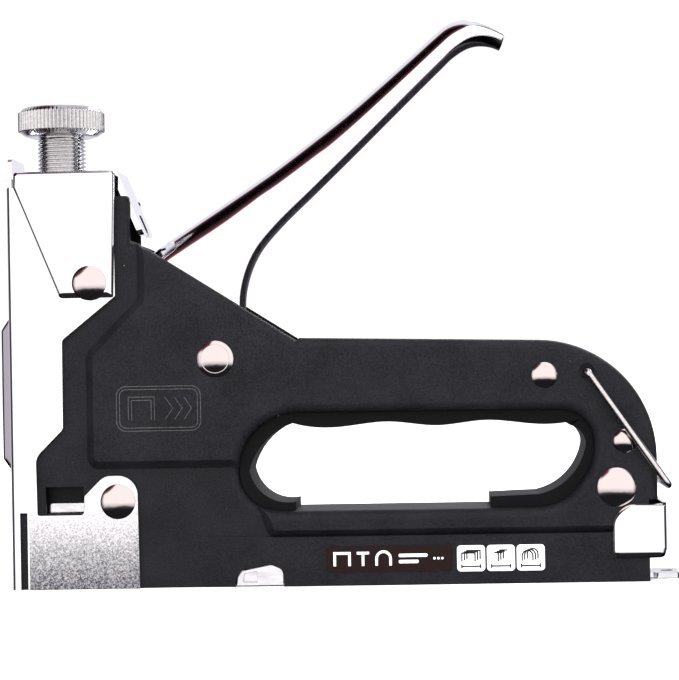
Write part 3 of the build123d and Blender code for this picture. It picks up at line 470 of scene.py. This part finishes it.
def lever_mesh():
    """Channel of bent sheet: a web whose corners roll over into two flanges."""
    bm = bmesh.new()
    rows = []
    for top, low in zip(smooth_line(WEB_LINE, LINE_STEPS), smooth_line(FLANGE_LINE, LINE_STEPS)):
        high = gun(top.x, 0, top.y)
        deep = gun(low.x, 0, low.y) - high
        down = deep.normalized()
        corner = min(LEVER_CORNER, deep.length * CORNER_SHARE)
        half = []
        for step in range(WEB_STEPS):
            half.append((step / WEB_STEPS * (LEVER_HALF - LEVER_CORNER), 0.0))
        for step in range(ROLL_STEPS + 1):
            angle = math.pi / 2 * step / ROLL_STEPS
            across = LEVER_HALF - LEVER_CORNER + LEVER_CORNER * math.sin(angle)
            half.append((across, corner * (1 - math.cos(angle))))
        for step in range(1, SIDE_STEPS + 1):
            half.append((LEVER_HALF, corner + (deep.length - corner) * step / SIDE_STEPS))
        profile = [(-y, z) for y, z in reversed(half[1:])] + half
        rows.append([bm.verts.new(high + Vector((0, y, 0)) + down * z) for y, z in profile])
    for first, second in zip(rows, rows[1:]):
        for index in range(len(first) - 1):
            bm.faces.new((first[index], first[index + 1], second[index + 1], second[index]))
    bmesh.ops.recalc_face_normals(bm, faces=bm.faces)
    for face in bm.faces:
        face.smooth = True
    bm.faces.ensure_lookup_table()
    middle = bm.faces[len(bm.faces) // 2]
    if middle.normal.z < 0:
        bmesh.ops.reverse_faces(bm, faces=bm.faces)
    mesh = bpy.data.meshes.new("squeeze_lever")
    bm.to_mesh(mesh)
    bm.free()
    return mesh


handle = piece("squeeze_lever", lever_mesh(), CHROME, "lever")
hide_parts("lever")
sheet = handle.modifiers.new("sheet", "SOLIDIFY")
sheet.thickness = LEVER_SHEET
sheet.offset = -1.0
# the inner faces of the lever's sheet take the dark grey as painted shade
handle.data.materials.append(LEVER_INSIDE_SHADE)
sheet.material_offset = 1
lip = handle.modifiers.new("lip", "BEVEL")
lip.width = LIP_ROUNDING
lip.segments = 2
lip.limit_method = "ANGLE"
lip.angle_limit = math.radians(60)


# ------------------------------------------------------------------ springs

def coil_mesh(name, start, axis, length, mean_radius, wire, turns):
    """A compression spring with closed ends, from start along axis."""
    bm = bmesh.new()
    sides = 12
    steps = int(turns * 28)
    rings = []
    along = Vector(axis)
    across = Vector((0, 1, 0))
    third = along.cross(across)
    closed = 1.0 / turns
    for index in range(steps + 1):
        share = index / steps
        end = min(share, 1 - share) / closed
        lead = share
        if end < 1:
            lead = share + (0.35 * closed * (1 - end)) * (1 if share > 0.5 else -1)
            lead = min(max(lead, 0.0), 1.0)
        angle = 2 * math.pi * turns * share
        centre_line = math.cos(angle) * across + math.sin(angle) * third
        centre = along * (wire + (length - 2 * wire) * lead) + centre_line * mean_radius
        ring = []
        for side in range(sides):
            turn = 2 * math.pi * side / sides
            offset = centre_line * math.cos(turn) * wire + along * math.sin(turn) * wire
            ring.append(bm.verts.new(centre + offset))
        rings.append(ring)
    for first, second in zip(rings, rings[1:]):
        for side in range(sides):
            after = (side + 1) % sides
            bm.faces.new((first[side], first[after], second[after], second[side]))
    bm.faces.new(rings[0])
    bm.faces.new(list(reversed(rings[-1])))
    return finish_mesh(name, bm, start, 60.0)


def spring(name, node, axis, wire, turns, anchor_high):
    low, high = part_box(node)
    index = 0 if axis[0] else 2
    middle = (low + high) / 2
    start = middle.copy()
    start[index] = low[index]
    outer = (high.y - low.y) / 2
    mesh = coil_mesh(name, start, axis, high[index] - low[index], outer - wire, wire, turns)
    body = "rod" if axis[0] else "frame"
    obj = piece(name, mesh, WIRE, body)
    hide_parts(node)
    anchor = start.copy()
    anchor[index] = high[index] if anchor_high else low[index]
    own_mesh(obj)
    return obj


spring("power_spring", "main_spring", (0, 0, 1), 1.0 * MM, 6, True)
spring("staple_feed_spring", "feed_spring", (1, 0, 0), 0.35 * MM, 46, True)


# ------------------------------------------------------------------ flat printed and raised shapes

def stroke(points, width):
    """Closed outline of a polyline of the given width."""
    left, right = [], []
    last = len(points) - 1
    for index, point in enumerate(points):
        before = Vector(points[max(index - 1, 0)])
        after = Vector(points[min(index + 1, last)])
        here = Vector(point)
        first = (here - before).normalized() if index else (after - here).normalized()
        second = (after - here).normalized() if index < last else first
        normal_a = Vector((-first.y, first.x))
        normal_b = Vector((-second.y, second.x))
        mitre = (normal_a + normal_b).normalized()
        reach = width / 2 / max(mitre.dot(normal_a), 0.4)
        left.append(tuple(here + mitre * reach))
        right.append(tuple(here - mitre * reach))
    return left + right[::-1]


def round_box(left, low, right, high, radius, steps=8):
    """Outline of a rectangle with rounded corners."""
    corners = ((right - radius, high - radius, 0), (left + radius, high - radius, 90),
               (left + radius, low + radius, 180), (right - radius, low + radius, 270))
    points = []
    for x, z, start in corners:
        for step in range(steps + 1):
            angle = math.radians(start + 90 * step / steps)
            points.append((x + radius * math.cos(angle), z + radius * math.sin(angle)))
    return points


SINK = 0.00001               # how far printed and raised shapes are let into their face, in metres


def shapes_mesh(name, shapes, face_y, height, bevel):
    """Raised shapes on a face that looks along -Y. Each shape is a list of loops in gun mm."""
    joined = bmesh.new()
    for index, loops in enumerate(shapes):
        curve = bpy.data.curves.new(f"{name}_{index}", "CURVE")
        curve.dimensions = "2D"
        curve.fill_mode = "BOTH"
        curve.extrude = max(height / 2 - bevel, 0.000005)
        curve.bevel_depth = bevel
        curve.bevel_resolution = 2
        curve.offset = -bevel
        for loop in loops:
            spline = curve.splines.new("POLY")
            spline.points.add(len(loop) - 1)
            for point, (x, z) in zip(spline.points, loop):
                point.co = (x * MM, z * MM, 0, 1)
            spline.use_cyclic_u = True
        holder = bpy.data.objects.new(curve.name, curve)
        bpy.context.scene.collection.objects.link(holder)
        bpy.context.view_layer.update()
        evaluated = holder.evaluated_get(bpy.context.evaluated_depsgraph_get())
        flat = bpy.data.meshes.new_from_object(evaluated)
        upright = Matrix.Rotation(math.radians(90), 4, "X")
        onto_face = Matrix.Translation((NOSE_X, face_y - height / 2 + SINK, 0))
        flat.transform(onto_face @ upright)
        joined.from_mesh(flat)
        bpy.data.objects.remove(holder)
        bpy.data.curves.remove(curve)
        bpy.data.meshes.remove(flat)
    bmesh.ops.remove_doubles(joined, verts=joined.verts, dist=0.000001)
    return finish_mesh(name, joined, None, 30.0)


def flat_staple(x, z, width, height):
    return [(x, z), (x, z + height), (x + width, z + height), (x + width, z)]


def nail_staple(x, z, width, height):
    middle = x + width / 2
    return [[(x, z + height), (x + width, z + height)], [(middle, z), (middle, z + height)]]


def round_staple(x, z, width, height):
    radius = width / 2
    points = [(x, z)]
    for step in range(13):
        angle = math.pi * (1 - step / 12)
        across = x + radius + radius * math.cos(angle)
        up = z + height - radius + radius * math.sin(angle)
        points.append((across, up))
    points.append((x + width, z))
    return points


# Raised mark pressed into the left side: a plain double frame round a staple and an arrow.
MARK_LEFT, MARK_LOW, MARK_RIGHT, MARK_HIGH = 26.6, 38.4, 47.4, 49.5
MARK_CORNER = 2.4
RIDGE = 0.22


def mark_frame(inset):
    """Rounded frame of the mark, drawn in by inset."""
    return round_box(
        MARK_LEFT + inset, MARK_LOW + inset, MARK_RIGHT - inset, MARK_HIGH - inset, MARK_CORNER - inset
    )


def mark_shapes():
    shapes = []
    for inset in (0.0, 0.75):
        shapes.append([mark_frame(inset), mark_frame(inset + RIDGE)])
    for inset in (0.0, 0.8):
        staple = flat_staple(29.6 + inset, 41.2, 6.4 - 2 * inset, 5.6 - inset)
        shapes.append([stroke(staple, RIDGE)])
    for shift in (0.0, 2.3, 4.6):
        chevron = [(38.6 + shift, 41.2), (40.5 + shift, 43.95), (38.6 + shift, 46.7)]
        shapes.append([stroke(chevron, RIDGE)])
    return shapes


mark = shapes_mesh("pressed_mark", mark_shapes(), PANEL_FACE, 0.12 * MM, 0.04 * MM)
# the ridges of the mark are coloured lighter than the body coat
MARK_COAT = powder_coat("lighter_coat_ridges", (0.030, 0.030, 0.033), (0.070, 0.070, 0.074))
piece("pressed_mark", mark, MARK_COAT, "frame")

LABEL_FACE = LABEL_LOW.y
INK_HEIGHT = 0.06 * MM
INK_EDGE = 0.01 * MM
LABEL_X = (LABEL_LOW.x - NOSE_X) / MM
LABEL_Z = LABEL_LOW.z / MM


def name_label_shapes():
    """White symbols: a flat, a nail and a round staple, then two plain bars and a row of dots."""
    x, z = LABEL_X + 2.0, LABEL_Z + 1.5
    wide = 0.62
    shapes = [[stroke(flat_staple(x, z, 3.6, 3.1), wide)]]
    for points in nail_staple(x + 5.4, z, 3.0, 3.1):
        shapes.append([stroke(points, wide)])
    shapes.append([stroke(round_staple(x + 10.2, z, 3.4, 3.4), wide)])
    shapes.append([round_box(x + 15.6, z + 2.0, x + 22.6, z + 2.8, 0.3)])
    shapes.append([round_box(x + 15.6, z + 0.5, x + 20.4, z + 1.3, 0.3)])
    for index in range(3):
        left = x + 24.0 + 0.95 * index
        shapes.append([round_box(left, z + 1.3, left + 0.6, z + 1.9, 0.3)])
    return shapes


label_mesh = shapes_mesh("label_symbols", name_label_shapes(), LABEL_FACE, INK_HEIGHT, INK_EDGE)
piece("label_symbols", label_mesh, WHITE, "frame")


def size_label_shapes():
    """Black symbols of the three staple kinds, each over a plain dimension line."""
    low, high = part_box("size_labels")
    first = (low.x - NOSE_X) / MM
    pitch = ((high.x - low.x) / MM - 6.8) / 2
    base = low.z / MM + 2.35
    thin = 0.36
    shapes = []
    for copy in range(3):
        shift_x, shift_z = 0.62 * copy, 0.30 * copy
        x = first + 1.15 + shift_x
        shapes.append([stroke(flat_staple(x, base + shift_z, 3.2, 2.1), thin)])
        x = first + pitch + 1.75 + shift_x
        for points in nail_staple(x, base + shift_z, 2.0, 2.1):
            shapes.append([stroke(points, thin)])
        x = first + 2 * pitch + 1.3 + shift_x
        shapes.append([stroke(round_staple(x, base + shift_z * 0.8, 2.6, 2.5), thin)])
    for index in range(3):
        left = first + index * pitch + 1.1
        line = base - 1.15
        shapes.append([stroke([(left, line), (left + 4.6, line)], 0.36)])
        for end in (left, left + 4.6):
            shapes.append([stroke([(end, line - 0.5), (end, line + 0.5)], 0.36)])
    return shapes


size_mesh = shapes_mesh("size_symbols", size_label_shapes(), LABEL_FACE, INK_HEIGHT, INK_EDGE)
piece("size_symbols", size_mesh, BLACK_INK, "frame")


# ------------------------------------------------------------------ studio

def floor():
    bm = bmesh.new()
    bmesh.ops.create_grid(bm, x_segments=2, y_segments=2, size=6.0)
    mesh = bpy.data.meshes.new("studio_floor")
    bm.to_mesh(mesh)
    bm.free()
    obj = bpy.data.objects.new("studio_floor", mesh)
    bpy.context.scene.collection.objects.link(obj)
    obj.location.z = -0.00005
    obj.visible_glossy = False
    material, tree, shader, coords = shader_setup("pale_floor")
    paper = noise(tree, coords, 30.0, 2.0)
    tree.links.new(ramp(tree, paper, [(0.3, 0.86), (0.7, 0.88)]), shader.inputs["Base Color"])
    shader.inputs["Roughness"].default_value = 0.9
    shader.inputs["Specular IOR Level"].default_value = 0.1
    mesh.materials.append(material)


def area_light(name, place, target, size, power, colour=(1, 1, 1), glossy=True):
    data = bpy.data.lights.new(name, "AREA")
    data.shape = "RECTANGLE"
    data.size, data.size_y = size
    data.energy = power
    data.color = colour
    obj = bpy.data.objects.new(name, data)
    bpy.context.scene.collection.objects.link(obj)
    obj.location = place
    obj.rotation_euler = (Vector(target) - Vector(place)).to_track_quat("-Z", "Y").to_euler()
    obj.visible_glossy = glossy
    obj.visible_camera = False
    return obj


def world():
    """White room, except in reflections: metal sees a bright front, dark sides, a grey back and,
    far below, darkness."""
    scene_world = bpy.data.worlds.new("studio")
    bpy.context.scene.world = scene_world
    scene_world.use_nodes = True
    tree = scene_world.node_tree
    tree.nodes.clear()
    coords = tree.nodes.new("ShaderNodeTexCoord").outputs["Generated"]
    axes = tree.nodes.new("ShaderNodeSeparateXYZ")
    tree.links.new(coords, axes.inputs[0])
    up = math_node(tree, "MULTIPLY_ADD", axes.outputs["Z"], 0.5)
    up.node.inputs[2].default_value = 0.5
    side = math_node(tree, "MULTIPLY", axes.outputs["X"], axes.outputs["X"])
    depth = math_node(tree, "MULTIPLY", axes.outputs["Y"], axes.outputs["Y"])
    flat = math_node(tree, "SQRT", math_node(tree, "ADD", side, depth), 0.0)
    front = math_node(tree, "DIVIDE", axes.outputs["Y"], math_node(tree, "MAXIMUM", flat, 0.001))
    front = math_node(tree, "MULTIPLY_ADD", front, 0.5)
    front.node.inputs[2].default_value = 0.5
    # 0 faces the camera side, 1 the far side
    around = ramp(tree, front, [
        (0.00, (1.0, 0.96, 0.95)),
        (0.30, (1.0, 0.97, 0.97)),
        (0.40, (0.03, 0.03, 0.04)),
        (0.72, (0.03, 0.03, 0.04)),
        (0.82, (0.44, 0.44, 0.48)),
        (1.00, (0.60, 0.59, 0.64)),
    ])
    height = ramp(tree, up, [
        (0.24, (0.012, 0.012, 0.014)),
        (0.30, (0.05, 0.045, 0.05)),
        (0.345, (0.60, 0.59, 0.61)),
        (0.44, (1.0, 1.0, 1.0)),
        (1.00, (1.0, 1.0, 1.0)),
    ])
    # a dark screen high on the left, which the lever's upper bend shows as a maroon-black band
    screen = tree.nodes.new("ShaderNodeVectorMath")
    screen.operation = "DOT_PRODUCT"
    tree.links.new(coords, screen.inputs[0])
    screen.inputs[1].default_value = (-0.66, 0.05, 0.75)
    shade = ramp(tree, screen.outputs["Value"], [
        (0.80, (1.0, 1.0, 1.0)),
        (0.86, (0.16, 0.04, 0.05)),
        (0.93, (0.03, 0.012, 0.016)),
    ])
    cover = tree.nodes.new("ShaderNodeMix")
    cover.data_type = "RGBA"
    cover.blend_type = "MULTIPLY"
    cover.inputs["Factor"].default_value = 1.0
    tree.links.new(height, cover.inputs["A"])
    tree.links.new(shade, cover.inputs["B"])
    height = cover.outputs["Result"]
    blend = tree.nodes.new("ShaderNodeMix")
    blend.data_type = "RGBA"
    blend.blend_type = "MULTIPLY"
    blend.inputs["Factor"].default_value = 1.0
    tree.links.new(around, blend.inputs["A"])
    tree.links.new(height, blend.inputs["B"])
    lit = tree.nodes.new("ShaderNodeBackground")
    lit.inputs["Strength"].default_value = 1.5
    tree.links.new(blend.outputs["Result"], lit.inputs["Color"])
    plain = tree.nodes.new("ShaderNodeBackground")
    plain.inputs["Color"].default_value = (1, 1, 1, 1)
    plain.inputs["Strength"].default_value = 1.15
    path = tree.nodes.new("ShaderNodeLightPath")
    choose = tree.nodes.new("ShaderNodeMixShader")
    tree.links.new(path.outputs["Is Glossy Ray"], choose.inputs[0])
    tree.links.new(plain.outputs[0], choose.inputs[1])
    tree.links.new(lit.outputs[0], choose.inputs[2])
    output = tree.nodes.new("ShaderNodeOutputWorld")
    tree.links.new(choose.outputs[0], output.inputs["Surface"])


floor()
world()
area_light("overhead", (0.0, -0.10, 1.1), (0, 0, 0.05), (1.6, 1.6), 32.0, (1, 1, 1), False)
area_light("front_fill", (-0.25, -1.1, 0.55), (0, 0, 0.06), (0.9, 0.7), 9.0, (1, 1, 1), False)
area_light("rear_strip", (0.35, 0.55, 0.60), (0.02, 0, 0.06), (0.7, 0.12), 3.0, (1, 1, 1), True)

# ------------------------------------------------------------------ camera

CAMERA_YAW, CAMERA_PITCH, CAMERA_ROLL = -1.484, 0.279, -1.011   # degrees
camera_data = bpy.data.cameras.new("camera")
camera_data.sensor_width = 36.0
camera_data.lens = 2077.5 / 680 * 36.0
camera_data.shift_x = -0.06
camera_data.dof.use_dof = False
camera_data.clip_start = 0.01
camera_data.clip_end = 50.0
camera = bpy.data.objects.new("camera", camera_data)
bpy.context.scene.collection.objects.link(camera)
camera.location = gun(104.55, -518.5, 57.25)
forward = Vector((math.sin(math.radians(CAMERA_YAW)), math.cos(math.radians(CAMERA_YAW)), 0))
forward = forward * math.cos(math.radians(CAMERA_PITCH))
forward.z = math.sin(math.radians(CAMERA_PITCH))
aim = forward.to_track_quat("-Z", "Y")
camera.rotation_mode = "QUATERNION"
camera.rotation_quaternion = aim @ Matrix.Rotation(math.radians(CAMERA_ROLL), 3, "Z").to_quaternion()
bpy.context.scene.camera = camera
bpy.context.scene.view_settings.view_transform = "Standard"
bpy.context.scene.view_settings.look = "None"
